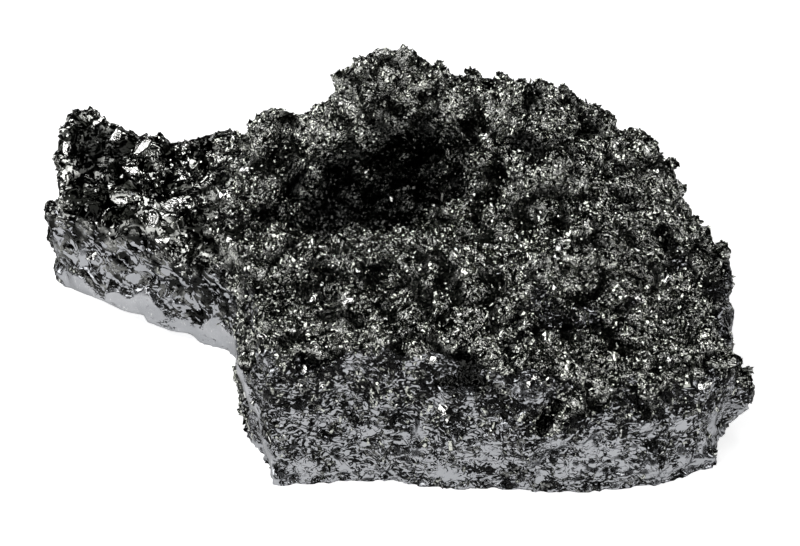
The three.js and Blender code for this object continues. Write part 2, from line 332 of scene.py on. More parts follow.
class Nodes:
    """Adds nodes to a shader or geometry tree, and links them in the same call."""

    def __init__(self, tree: Tree) -> None:
        """Works on one tree."""
        self.tree = tree

    def add(self, kind: str, *inputs: object, **settings: object) -> Node:
        """Adds one node.

        Args:
            kind: The node's type.
            inputs: A value or an output for each input from the first on, None to skip one.
            settings: Properties of the node.

        Returns:
            The new node.
        """
        node = self.tree.nodes.new(kind)
        for name, value in settings.items():
            setattr(node, name, value)
        for socket, value in zip(node.inputs, inputs):
            self.feed(socket, value)
        return node

    def feed(self, socket: Socket, value: object) -> None:
        """Links an output to a socket, or sets the socket's own value.

        Args:
            socket: The input to feed.
            value: An output, a value, or None to leave it as it is.
        """
        if isinstance(value, bpy.types.NodeSocket):
            self.tree.links.new(value, socket)
        elif value is not None:
            socket.default_value = value

    def fill(self, node: Node, inputs: Look) -> Node:
        """Feeds the inputs of a node by their names or numbers, and returns the node.

        Args:
            node: The node.
            inputs: A value or an output for each name or number.

        Returns:
            The same node.
        """
        for key, value in inputs.items():
            self.feed(node.inputs[key], value)
        return node

    def math(self, operation: str, *inputs: object) -> Socket:
        """One Math node's output."""
        return self.add("ShaderNodeMath", *inputs, operation=operation).outputs[0]

    def times(self, *factors: object) -> Socket:
        """The product of some numbers."""
        return reduce(lambda product, factor: self.math("MULTIPLY", product, factor), factors)

    def plus(self, *terms: object) -> Socket:
        """The sum of some numbers."""
        return reduce(lambda total, term: self.math("ADD", total, term), terms)

    def minus(self, first: object, second: object) -> Socket:
        """The first number less the second one."""
        return self.math("SUBTRACT", first, second)

    def vector(self, operation: str, *inputs: object) -> Socket:
        """One Vector Math node's output: a dot product's number, otherwise the vector."""
        node = self.add("ShaderNodeVectorMath", *inputs, operation=operation)
        return node.outputs["Value" if operation == "DOT_PRODUCT" else "Vector"]

    def scaled(self, vector: object, by: object) -> Socket:
        """A vector times a number."""
        node = self.add("ShaderNodeVectorMath", vector, operation="SCALE")
        return self.fill(node, {"Scale": by}).outputs["Vector"]

    def ramp(self, value: Socket, edge: Edge, start: object = 0.0, full: object = 1.0) -> Socket:
        """Goes smoothly from start to full where a value crosses an edge.

        Args:
            value: The value.
            edge: Where it starts and is full.
            start: What comes out before the edge.
            full: What comes out after it.

        Returns:
            The number that comes out.
        """
        node = self.add("ShaderNodeMapRange", interpolation_type="SMOOTHSTEP")
        low, high = edge.value
        return self.fill(node, {"Value": value, "From Min": low, "From Max": high,
                                "To Min": start, "To Max": full}).outputs["Result"]

    def store(self, geometry: Socket, mask: Mask, kind: str, value: Socket) -> Socket:
        """Writes a point attribute, in a geometry tree."""
        node = self.add("GeometryNodeStoreNamedAttribute", geometry, data_type=kind)
        return self.fill(node, {"Name": mask.value, "Value": value}).outputs[0]

    def read(self, mask: Mask, kind: str = "FLOAT") -> Socket:
        """A point attribute, in a geometry tree."""
        return self.add("GeometryNodeInputNamedAttribute", mask.value, data_type=kind).outputs[0]

    def mask(self, mask: Mask, output: str = "Fac") -> Socket:
        """A point attribute, in a shader."""
        return self.add("ShaderNodeAttribute", attribute_name=mask.value).outputs[output]

    def hackle(self, place: Socket, size_mm: float, steep: float) -> Socket:
        """The height of the fine, creased surface of torn metal, from the shared group."""
        values = {"Place": place, "Size": size_mm * MM, "Steepness": steep}
        return self.group(hackle_group(), values).outputs["Height"]

    def group(self, tree: Tree, values: Look) -> Node:
        """Places a shared shader group, with its own values by their names."""
        return self.fill(self.add("ShaderNodeGroup", node_tree=tree), values)

    def bump(self, shader: Node, height: Socket) -> None:
        """Raises a shader's surface by a height in metres."""
        bump = self.fill(self.add("ShaderNodeBump"),
                         {"Strength": 1.0, "Distance": 1.0, "Height": height})
        self.feed(shader.inputs["Normal"], bump.outputs["Normal"])

    def mix(self, share: object, first: object, second: object) -> Socket:
        """A number between two numbers."""
        return self.add("ShaderNodeMix", share, None, first, second, data_type="FLOAT").outputs[0]

    def mix_colour(self, share: object, first: object, second: object) -> Socket:
        """A colour between two colours, whose sockets come after those of the other kinds."""
        node = self.add("ShaderNodeMix", data_type="RGBA")
        return self.fill(node, {0: share, 6: first, 7: second}).outputs[2]

    def noise(self, place: Socket, look: Noise) -> Node:
        """A noise node, whose number and colour are both round one half."""
        return self.fill(self.add("ShaderNodeTexNoise"), {
            "Vector": place, "Scale": 1.0 / (look.size * MM), "Detail": look.detail,
            "Roughness": look.rough, "Distortion": look.curl})

    def blobs(self, place: Socket, look: Noise) -> Socket:
        """The number from a noise node."""
        return self.noise(place, look).outputs[0]

    def warped(self, place: Socket, size_mm: float, far_mm: float) -> Socket:
        """The place moved a little by noise, so that what is drawn there has crooked edges.

        Args:
            place: The point in space.
            size_mm: The width of a bend.
            far_mm: How far it may move.

        Returns:
            The moved place.
        """
        noise = self.noise(place, Noise(size_mm, 1.0)).outputs[1]
        shift = self.scaled(self.vector("SUBTRACT", noise, HALVES), far_mm * MM)
        return self.vector("ADD", place, shift)

    def cells(self, place: Socket, size_mm: float) -> Node:
        """A node that splits space into cells of one size."""
        return self.fill(self.add("ShaderNodeTexVoronoi"),
                         {"Vector": place, "Scale": 1.0 / (size_mm * MM)})

    def facets(self, place: Socket, size_mm: float) -> tuple[Socket, Socket]:
        """Flat faces tilted at random, one to a cell.

        Args:
            place: The point in space.
            size_mm: The size of a face.

        Returns:
            The height of the faces in metres, and a random colour for each.
        """
        cells = self.cells(place, size_mm)
        tilt = self.vector("SUBTRACT", cells.outputs["Color"], HALVES)
        off = self.vector("SUBTRACT", place, cells.outputs["Position"])
        return self.vector("DOT_PRODUCT", tilt, off), cells.outputs["Color"]


def new_tree(
        name: str, kind: str, takes: dict[str, str], gives: dict[str, str],
) -> tuple[Nodes, list[Socket]]:
    """Starts a node tree with named inputs and outputs.

    Args:
        name: The tree's name.
        kind: Shader or Geometry.
        takes: The kind of each input, by its name.
        gives: The kind of each output, by its name.

    Returns:
        The tree's node shorthand, and what comes in by each input.
    """
    tree = bpy.data.node_groups.new(name, f"{kind}NodeTree")
    for way, ends in (("INPUT", takes), ("OUTPUT", gives)):
        for end, socket in ends.items():
            tree.interface.new_socket(end, in_out=way, socket_type=f"NodeSocket{socket}")
    nodes = Nodes(tree)
    return nodes, nodes.add("NodeGroupInput").outputs[:len(takes)]


def hackle_group() -> Tree:
    """The shared shader group for the fine, creased surface of torn metal.

    Returns:
        A group that takes a place, the creases' size in metres and their steepness, and gives
        the surface's height.
    """
    name = "boron_hackle"
    if name in bpy.data.node_groups:
        return bpy.data.node_groups[name]
    nodes, (place, size, steep) = new_tree(
        name, "Shader", {"Place": "Vector", "Size": "Float", "Steepness": "Float"},
        {"Height": "Float"})
    noise = nodes.fill(nodes.noise(place, CREASES), {"Scale": nodes.math("DIVIDE", 1.0, size)})
    crease = nodes.math("ABSOLUTE", nodes.minus(noise.outputs[0], HALF))
    height = nodes.times(nodes.times(crease, size), nodes.times(steep, -CREASE_DEPTH))
    nodes.add("NodeGroupOutput", height)
    return nodes.tree


def grain_group() -> Tree:
    """The shared shader group for what differs from one crystal to the next.

    Returns:
        A group that takes a place, the colours of the lightest and darkest faces, and the
        roughness of the keenest and dullest ones, and gives the colour and the roughness there.
    """
    name = "boron_grain"
    if name in bpy.data.node_groups:
        return bpy.data.node_groups[name]
    nodes, (place, light, dark, keen, dull) = new_tree(
        name, "Shader",
        {"Place": "Vector", "Light": "Color", "Dark": "Color", "Keen": "Float", "Dull": "Float"},
        {"Colour": "Color", "Roughness": "Float"})
    drifts, specks = nodes.blobs(place, GRAIN_DRIFTS), nodes.blobs(place, GRAIN_SPECKS)
    tone = nodes.mix(SPECK_SHARE, drifts, specks)
    colour = nodes.mix_colour(nodes.ramp(tone, Edge.LIGHT_GRAIN), dark, light)
    nodes.add("NodeGroupOutput", colour, nodes.ramp(tone, Edge.KEEN_GRAIN, dull, keen))
    return nodes.tree


def patches(nodes: Nodes, place: Socket, skin: Socket, coarse: Socket) -> Socket:
    """Where the surface froze flat against the mould.

    The pits in it are crooked worms, few and thin where skin is 1, and joined up where it is 0.
    On coarse metal they are larger, and run down to the right.

    Args:
        nodes: The tree to work in, of either kind.
        place: The point in space, in metres.
        skin: How much of the surface is flat there, from 0 to 1.
        coarse: How coarse the metal is there, from 0 to 1.

    Returns:
        1 on a flat patch, and 0 in a pit.
    """
    fine = nodes.blobs(nodes.vector("MULTIPLY", place, WORM_STRETCH), FINE_WORMS)
    slant = [nodes.vector("DOT_PRODUCT", place, way) for way in WORM_SLANT]
    large = nodes.blobs(nodes.add("ShaderNodeCombineXYZ", *slant).outputs[0], LARGE_WORMS)
    worms = nodes.math("ABSOLUTE", nodes.minus(nodes.mix(coarse, fine, large), HALF))
    blotch = nodes.times(nodes.minus(nodes.blobs(place, BLOTCHES), HALF), BLOTCHY)
    wide = nodes.plus(nodes.ramp(skin, Edge.ALL, WIDEST_PIT, NARROWEST_PIT), blotch)
    return nodes.ramp(nodes.minus(worms, wide), Edge.PATCH)


def glassy(nodes: Nodes, place: Socket) -> Socket:
    """Where coarse metal split into a black, glassy face: 1 there and 0 elsewhere."""
    return nodes.ramp(nodes.blobs(place, GLASS), Edge.GLASS)


# ---- finishes ----


SKIN_CLEAN = (0.40, 0.405, 0.42, 1.0)
SKIN_DULL = (0.325, 0.332, 0.348, 1.0)
FROST = (0.62, 0.62, 0.61, 1.0)
SKIN_ROUGH = 0.24
# Painted shade: the colour that each deep hollow and the clefts are darkened towards.
SHADED = (0.028, 0.0285, 0.027, 1.0)
# Painted shade: the near-black that the pits are darkened towards.
PIT_SHADE = (0.012, 0.012, 0.012, 1.0)
# GAP_SHADE is the painted shade on crystals in the clefts; COARSE_PIT_SHADE and SPECKLED_PIT_SHADE
# thin the pits' painted shade on coarse metal and in specks.
GAP_SHADE, COARSE_PIT_SHADE, SPECKLED_PIT_SHADE, WHOLE_CRUMBS, THIN_CLOUD = 0.45, 0.75, 0.6, 0.12, 0.3
STREAK_STRETCH = (1.7, 0.8, 0.6)
GRAIN_HACKLE, TORN_HACKLE, SPLIT_HACKLE = (0.5, 0.13), (0.4, 0.8), (0.9, 0.25)
LARGE_BENDS, LARGE_SPLIT, LARGE_STEEP = (0.8, 0.5), 1.3, 0.8
SMALL_BENDS, SMALL_SPLIT, SMALL_STEEP = (0.5, 0.3), 0.6, 0.5
RIPPLE_HIGH = 0.05 * MM
METAL = {"Metallic": 1.0, "Specular Tint": (0.5, 0.5, 0.5, 1.0)}


def new_material(name: str, look: Look) -> tuple[Material, Nodes, Node]:
    """A material with some of its shader's inputs set, its node shorthand, and its shader.

    Args:
        name: The material's name.
        look: Values for its shader's inputs, by their names.

    Returns:
        The three.
    """
    material = bpy.data.materials.new(name)
    material.use_nodes = True
    nodes = Nodes(material.node_tree)
    return material, nodes, nodes.fill(material.node_tree.nodes["Principled BSDF"], look)


@dataclass(frozen=True)
class Boron:
    """The sheen of bare boron: a dark, hard, glassy metal.

    Attributes:
        name: The material's name.
        light: Colour of the cleanest faces.
        dark: Colour of the dullest faces.
        rough: Roughness of the sharpest and of the dullest faces.
    """

    name: str
    light: Colour
    dark: Colour
    rough: Span

    def crystals(self) -> Material:
        """The material of loose-standing crystals, a little different from grain to grain.

        Returns:
            The material.
        """
        material, nodes, shader = new_material(self.name, METAL)
        place = nodes.add("ShaderNodeTexCoord").outputs["Object"]
        keen, dull = self.rough
        grain = nodes.group(grain_group(), {
            "Place": place, "Light": self.light, "Dark": self.dark, "Keen": keen, "Dull": dull})
        # Painted shade: crystals in the clefts and in each deep hollow are darkened towards
        # SHADED.
        gap = nodes.times(nodes.mask(Mask.GAP), GAP_SHADE)
        shaded = nodes.math("MAXIMUM", nodes.mask(Mask.SHELTER), gap)
        colour = nodes.mix_colour(shaded, grain.outputs["Colour"], SHADED)
        nodes.fill(shader, {"Base Color": colour, "Roughness": grain.outputs["Roughness"]})
        nodes.bump(shader, nodes.hackle(place, *GRAIN_HACKLE))
        return material

    def body(self) -> Material:
        """The material of the body: polished patches, pits, cleavage, and painted shade in the
        clefts, the pits and each deep hollow.

        Returns:
            The material.
        """
        material, nodes, shader = new_material(self.name, METAL)
        place = nodes.mask(Mask.REST, "Vector")
        flat = patches(nodes, place, nodes.mask(Mask.SKIN), nodes.mask(Mask.COARSE))
        large, each = nodes.facets(nodes.warped(place, *LARGE_BENDS), LARGE_SPLIT)
        black, whole, _ = nodes.add("ShaderNodeSeparateXYZ", each).outputs
        colour = nodes.mix_colour(flat, self.open_tone(nodes, place, black),
                                  self.skin_tone(nodes, place))
        worn = nodes.ramp(nodes.blobs(place, WEAR), Edge.WORN, *self.rough)
        nodes.fill(shader, {"Base Color": colour, "Roughness": nodes.mix(flat, worn, SKIN_ROUGH)})
        small, _ = nodes.facets(nodes.warped(place, *SMALL_BENDS), SMALL_SPLIT)
        broken = nodes.plus(nodes.times(small, SMALL_STEEP), nodes.hackle(place, *SPLIT_HACKLE))
        broken = nodes.times(broken, nodes.ramp(whole, Edge.WHOLE_FACE, 1.0, WHOLE_CRUMBS))
        split = nodes.plus(nodes.times(large, LARGE_STEEP), broken)
        rough = nodes.mix(nodes.mask(Mask.COARSE), nodes.hackle(place, *TORN_HACKLE), split)
        ripple = nodes.times(nodes.blobs(place, RIPPLES), RIPPLE_HIGH)
        nodes.bump(shader, nodes.mix(flat, rough, ripple))
        return material

    def skin_tone(self, nodes: Nodes, place: Socket) -> Socket:
        """The colour of mould skin, with clouds and a few feathers of frost.

        Args:
            nodes: The tree to work in.
            place: The point in space.

        Returns:
            The colour.
        """
        skin = nodes.mask(Mask.SKIN)
        cloud = nodes.times(nodes.ramp(nodes.blobs(place, CLOUDS), Edge.CLOUD),
                            nodes.ramp(skin, Edge.CLOUDLESS, THIN_CLOUD))
        streaks = nodes.blobs(nodes.vector("MULTIPLY", place, STREAK_STRETCH), STREAKS)
        frost = nodes.times(nodes.ramp(streaks, Edge.FROST), nodes.ramp(skin, Edge.FROSTY))
        return nodes.mix_colour(frost, nodes.mix_colour(cloud, SKIN_DULL, SKIN_CLEAN), FROST)

    def open_tone(self, nodes: Nodes, place: Socket, black: Socket) -> Socket:
        """The colour of broken metal: painted shade in its pits, its clefts and each deep hollow,
        and a few black faces.

        Args:
            nodes: The tree to work in.
            place: The point in space.
            black: A random number for each face, high where it is black.

        Returns:
            The colour.
        """
        coarse = nodes.mask(Mask.COARSE)
        black = nodes.math("MAXIMUM", nodes.ramp(black, Edge.BLACK_FACE), glassy(nodes, place))
        # Painted shade in the clefts, taken together with the black faces of coarse metal.
        dark = nodes.math("MAXIMUM", nodes.mask(Mask.GAP), nodes.times(black, coarse))
        tone = nodes.mix_colour(dark, self.light, self.dark)
        # Painted shade in the pits of the mould skin, coming in as the skin mask rises from 0.2 to
        # 0.36, less on coarse metal and broken by specks.
        pit = nodes.times(
            nodes.ramp(nodes.mask(Mask.SKIN), Edge.PITTED),
            nodes.ramp(coarse, Edge.ALL, 1.0, COARSE_PIT_SHADE),
            nodes.ramp(nodes.blobs(place, PIT_SPECKS), Edge.PIT_SPECK, 1.0, SPECKLED_PIT_SHADE))
        # Painted shade in each deep hollow, in the front wall's pit and faintly over the front
        # slope.
        return nodes.mix_colour(nodes.mask(Mask.SHELTER), nodes.mix_colour(pit, tone, PIT_SHADE), SHADED)


OPEN = Boron("boron_body", (0.48, 0.484, 0.46, 1.0), (0.015, 0.0157, 0.0135, 1.0), (0.06, 0.16))
FINE = Boron(
    "boron_fine_grains", (0.485, 0.495, 0.45, 1.0), (0.021, 0.0228, 0.0185, 1.0), (0.05, 0.15))
BLADES = Boron("boron_blades", (0.64, 0.643, 0.62, 1.0), (0.058, 0.06, 0.054, 1.0), (0.05, 0.12))
FLAKE = Boron("boron_flakes", (0.66, 0.655, 0.64, 1.0), (0.3, 0.3, 0.29, 1.0), (0.08, 0.16))


# ---- mesh tools ----


def new_object(name: str, data: bpy.types.ID) -> Object:
    """Puts a mesh, a lamp or a camera in the scene, as an object at the origin.

    Args:
        name: The object's name.
        data: What it shows.

    Returns:
        The object.
    """
    obj = bpy.data.objects.new(name, data)
    bpy.context.scene.collection.objects.link(obj)
    return obj


@contextmanager
def editing(mesh: Mesh) -> Iterator[bmesh.types.BMesh]:
    """Opens a mesh to be edited, and writes it back.

    Args:
        mesh: The mesh.

    Yields:
        It, open to bmesh operators.
    """
    work = bmesh.new()
    work.from_mesh(mesh)
    yield work
    work.to_mesh(mesh)
    work.free()


def settle(obj: Object) -> None:
    """Makes what an object's modifiers do part of its mesh.

    Args:
        obj: The object, which keeps no modifiers.
    """
    graph = bpy.context.evaluated_depsgraph_get()
    mesh = bpy.data.meshes.new_from_object(obj.evaluated_get(graph))
    old = obj.data
    obj.modifiers.clear()
    obj.data = mesh
    mesh.name = obj.name
    bpy.data.meshes.remove(old)


def run_tree(obj: Object, tree: Tree) -> None:
    """Runs a geometry tree on an object's mesh.

    Args:
        obj: The object.
        tree: The tree.
    """
    modifier = obj.modifiers.new(tree.name, "NODES")
    modifier.node_group = tree
    settle(obj)


def gather(items: object, key: str, wide: int = 1, kind: type = np.float32) -> np.ndarray:
    """One property of a mesh's elements as an array, with so many numbers for each.

    Args:
        items: The mesh's vertices, faces, loops or attribute values.
        key: The property's name.
        wide: How many numbers each one has.
        kind: The numbers' type.

    Returns:
        The numbers, with a row for each element where it has more than one.
    """
    values = np.empty(len(items) * wide, dtype=kind)
    items.foreach_get(key, values)
    return values.reshape(-1, wide) if wide > 1 else values


def vertex_places(mesh: Mesh) -> np.ndarray:
    """Every vertex's place, in millimetres."""
    return gather(mesh.vertices, "co", 3) / MM


def move_vertices(mesh: Mesh, places: np.ndarray) -> None:
    """Puts every vertex at its place, in millimetres."""
    mesh.vertices.foreach_set("co", (places * MM).ravel())
    mesh.update()


def bake_map(mesh: Mesh, margin: float = 0.01) -> None:
    """Gives a mesh a map of six tiles, one for the faces that look each way along X, Y and Z.

    Args:
        mesh: The mesh.
        margin: The room left free at each side of a tile, as a share of it.
    """
    totals = gather(mesh.polygons, "loop_total", kind=np.int32)
    normals = gather(mesh.polygons, "normal", 3)
    places = vertex_places(mesh)[gather(mesh.loops, "vertex_index", kind=np.int32)]
    low, high = places.min(axis=0), places.max(axis=0)
    share = (places - low) / max(high - low)
    axis = np.abs(normals).argmax(axis=1)
    up = normals[np.arange(len(axis)), axis] > 0
    axis, up = np.repeat(axis, totals), np.repeat(up, totals)
    across = np.where(axis == 0, share[:, 1], share[:, 0])
    along = np.where(axis == 2, share[:, 1], share[:, 2])
    uv = np.empty((len(places), 2), dtype=np.float32)
    uv[:, 0] = (axis + margin + (1 - 2 * margin) * across) / 3.0
    uv[:, 1] = (up + margin + (1 - 2 * margin) * along) / 2.0
    mesh.uv_layers.new(name="OFBake").data.foreach_set("uv", uv.ravel())


# ---- the body ----


SAME_POINT = 0.001
FOOT_HIGH = 0.03
EASED_FROM = 0.3
FINER_SKIN = 0.3
NUDGE_FULL = 0.2
CLEFT_BENDS = (1.1, 1.0)
FINE_RISE, SPLIT_RISE, PIT_RISE = 0.2 * MM, 0.12 * MM, -0.22 * MM
LARGE_FACE, LARGE_TILT = 2.3, 0.65
SMALL_FACE, SMALL_TILT = 1.2, 0.6
COARSE_CRUMBS, COARSE_BULGE, PIT_CRUMBS, SKIN_BULGE = 0.35, 0.4, 0.7, 0.35


@dataclass
class Body:
    """The lump's body: the solid's form with the surface of mould skin, cleavage and metal.

    Attributes:
        voxel: Size of the mesh's faces, in millimetres. They are half as large on mould skin.
        foot_left: The share of the flat foot's faces that is kept.
        eased: How often the facets are eased, from each flatness of the skin on.
        nodule: Size of the nodules of open metal, in millimetres.
        bulge: How far a nodule's middle stands over its rim, in millimetres.
        crumbs: How high the crumbs on it are, in millimetres.
        chip: How deep the foot's edge is chipped, in millimetres.
        marks: The lump's landmarks.
    """

    voxel: float = 0.365
    foot_left: float = 0.06
    eased: tuple[tuple[float, int], ...] = ((-1.0, 1), (0.45, 2), (0.85, 8))
    nodule: float = 1.5
    bulge: float = 1.7
    crumbs: float = 0.8
    chip: float = 0.4
    marks: Landmarks = Landmarks()

    def build(self) -> Object:
        """Makes the body and paints its masks on it.

        Returns:
            The body, without its material.
        """
        obj = new_object("boron_body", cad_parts[NODE].data.copy())
        obj.data.materials.clear()
        with editing(obj.data) as work:
            bmesh.ops.remove_doubles(work, verts=work.verts, dist=SAME_POINT * MM)
        remesh = obj.modifiers.new("fine", "REMESH")
        remesh.mode = "VOXEL"
        remesh.voxel_size = self.voxel * MM
        settle(obj)
        self.thin_foot(obj)
        self.paint(obj.data)
        self.ease(obj.data)
        self.hang_slab(obj.data)
        self.nudge(obj.data)
        run_tree(obj, self.roughness())
        obj.data.shade_smooth()
        return obj

    def thin_foot(self, obj: Object) -> None:
        """Leaves only a few faces on the flat foot.

        Args:
            obj: The body, just remeshed.
        """
        low = np.flatnonzero(vertex_places(obj.data)[:, 2] < FOOT_HIGH)
        group = obj.vertex_groups.new(name="foot")
        group.add([int(i) for i in low], 1.0, "REPLACE")
        thin = obj.modifiers.new("foot", "DECIMATE")
        thin.vertex_group = group.name
        thin.ratio = 1.0 - len(low) / len(obj.data.vertices) * (1.0 - self.foot_left)
        settle(obj)
        obj.vertex_groups.clear()

    def paint(self, mesh: Mesh) -> None:
        """Writes the masks on the mesh's points.

        Args:
            mesh: The body's mesh.
        """
        marks, places = self.marks, vertex_places(mesh)
        coarse = smooth(places[:, 0], *TO_COARSE) * (1.0 - marks.arm_skin(places))
        masks = {
            Mask.SKIN: marks.skin(places, gather(mesh.vertex_normals, "vector", 3)),
            Mask.COARSE: coarse,
            Mask.CRUST: 1.0 - smooth(places[:, 2], *ON_FOOT),
            # Painted shade in each deep hollow, in the front wall's pit and faintly over the front
            # slope.
            Mask.SHELTER: marks.within(places, marks.painted_shade_rounds)}
        for mask, values in masks.items():
            layer = mesh.attributes.new(mask.value, "FLOAT", "POINT")
            layer.data.foreach_set("value", values.astype(np.float32))

    def ease(self, mesh: Mesh) -> None:
        """Eases the solid's facets once, and more often on mould skin, with finer faces there.

        Args:
            mesh: The body's mesh.
        """
        skin = gather(mesh.attributes[Mask.SKIN.value].data, "value")
        with editing(mesh) as work:
            work.verts.ensure_lookup_table()
            for least, times in self.eased:
                chosen = [work.verts[i] for i in np.flatnonzero(skin > least)]
                chosen = [vert for vert in chosen if vert.co.z > EASED_FROM * MM]
                for _ in range(times):
                    bmesh.ops.smooth_vert(
                        work, verts=chosen, factor=HALF, **{f"use_axis_{i}": True for i in "xyz"})
            fine = {work.verts[i] for i in np.flatnonzero(skin > FINER_SKIN)}
            edges = [edge for edge in work.edges if fine.issuperset(edge.verts)]
            bmesh.ops.subdivide_edges(work, edges=edges, cuts=1, use_grid_fill=True)

    def hang_slab(self, mesh: Mesh) -> None:
        """Lets a slab hang from the arm's underside, with a sharp step at its left end.

        Args:
            mesh: The body's mesh.
        """
        places = vertex_places(mesh)
        x, _, z = places.T
        deep = SLAB_DEEP * smooth(x, *SLAB_STEP) * smooth(x, *SLAB_FADE)
        places[:, 2] -= deep * smooth(z - self.marks.underside(x), *SLAB_THICK)
        move_vertices(mesh, places)

    def nudge(self, mesh: Mesh) -> None:
        """Pushes the outline's knobs out of the solid's form, and its dents into it.

        Args:
            mesh: The body's mesh.
        """
        places = vertex_places(mesh)
        still = places.copy()
        for middle, radius, move in self.marks.nudges:
            away = np.linalg.norm(still - np.array(middle), axis=1)
            places += smooth(away, radius, NUDGE_FULL * radius)[:, None] * np.array(move)
        move_vertices(mesh, places)

    def roughness(self) -> Tree:
        """The tree that sinks and breaks up the surface, but leaves the flat foot flat.

        Returns:
            The geometry tree.
        """
        nodes, (source,) = new_tree("boron_surface", "Geometry", GEOMETRY, GEOMETRY)
        here = nodes.add("GeometryNodeInputPosition").outputs[0]
        crooked = nodes.warped(here, *CLEFT_BENDS)
        far = nodes.cells(crooked, self.nodule).outputs["Distance"]
        skin, coarse = nodes.read(Mask.SKIN), nodes.read(Mask.COARSE)
        source = nodes.store(source, Mask.REST, "FLOAT_VECTOR", here)
        # The clefts' mask, which the materials also use to paint shade into the clefts.
        source = nodes.store(source, Mask.GAP, "FLOAT", nodes.ramp(far, Edge.CLEFT))
        source = nodes.store(source, Mask.FLAT, "FLOAT", patches(nodes, here, skin, coarse))
        nodule = nodes.times(far, far, -self.bulge * MM)
        crumbs = nodes.times(nodes.minus(nodes.blobs(here, CRUMBS), HALF), self.crumbs * MM)
        cleft = nodes.plus(nodes.times(nodes.facets(crooked, LARGE_FACE)[0], LARGE_TILT),
                           nodes.times(nodes.facets(here, SMALL_FACE)[0], SMALL_TILT),
                           nodes.times(crumbs, COARSE_CRUMBS),
                           nodes.times(nodule, COARSE_BULGE), SPLIT_RISE)
        rough = nodes.mix(coarse, nodes.plus(nodule, crumbs, FINE_RISE), cleft)
        pitted = nodes.plus(nodes.times(crumbs, PIT_CRUMBS), PIT_RISE)
        rough = nodes.mix(nodes.ramp(skin, Edge.LESS_ROUGH), rough, pitted)
        wavy = nodes.ramp(skin, Edge.LESS_WAVY, SKIN_BULGE, 0.0)
        sunk = nodes.mix(nodes.read(Mask.FLAT), rough, nodes.times(nodule, wavy))
        height = nodes.add("ShaderNodeSeparateXYZ", here).outputs[2]
        normal = nodes.add("GeometryNodeInputNormal").outputs[0]
        away = nodes.scaled(normal, nodes.times(sunk, nodes.ramp(height, Edge.OFF_FOOT)))
        chips = nodes.ramp(nodes.blobs(here, CHIPS), Edge.CHIP, 0.0, -self.chip * MM)
        chips = nodes.times(chips, nodes.ramp(height, Edge.OVER_CHIPS, 1.0, 0.0))
        chipped = nodes.scaled(nodes.vector("MULTIPLY", normal, (1.0, 1.0, 0.0)), chips)
        moved = nodes.vector("ADD", here, nodes.vector("ADD", away, chipped))
        low, high = CAD_BOX
        inside = nodes.vector("MAXIMUM", nodes.vector("MINIMUM", moved, tuple(high)), tuple(low))
        held = nodes.add("GeometryNodeSetPosition", source)
        nodes.add("NodeGroupOutput", nodes.fill(held, {"Position": inside}).outputs[0])
        return nodes.tree


# ---- the crystals ----


BLOCK_SIZE, BLOCK_LEAN = 0.8, (0.28, 0.16)
CONES = {"bipyramid": (4, 0.55, 0.0, 0.5), "plate": (5, 0.6, 0.45, 0.3)}
LOWER_TIP = (0.05, 0.03, -0.5)


class Habit(Enum):
    """The forms that the crystals grow in."""

    BLOCK = "block"
    BIPYRAMID = "bipyramid"
    PLATE = "plate"

    def mesh(self) -> Mesh:
        """One closed crystal with flat faces, about 1 unit across.

        Returns:
            Its mesh.
        """
        mesh = bpy.data.meshes.new(self.value)
        with editing(mesh) as work:
            if self is Habit.BLOCK:
                bmesh.ops.create_cube(work, size=BLOCK_SIZE)
                lean = Matrix.Shear("XY", 4, BLOCK_LEAN)
                bmesh.ops.transform(work, matrix=lean, verts=work.verts)
            else:
                sides, foot, top, high = CONES[self.value]
                bmesh.ops.create_cone(
                    work, cap_ends=True, segments=sides, radius1=foot, radius2=top, depth=high)
            if self is Habit.BIPYRAMID:
                base = [face for face in work.faces if len(face.verts) == 4]
                tip = bmesh.ops.poke(work, faces=base)["verts"]
                bmesh.ops.translate(work, verts=tip, vec=LOWER_TIP)
            bmesh.ops.triangulate(work, faces=work.faces)
        return mesh


GROWN_IN_PITS, GROWN_IN_GAPS, GROWN_ON_GLASS = (0.12, 0.28), 0.35, 0.15
BUNDLE_TURNS = 6.0
SIZE_POWER = 1.6
REACH = 0.6


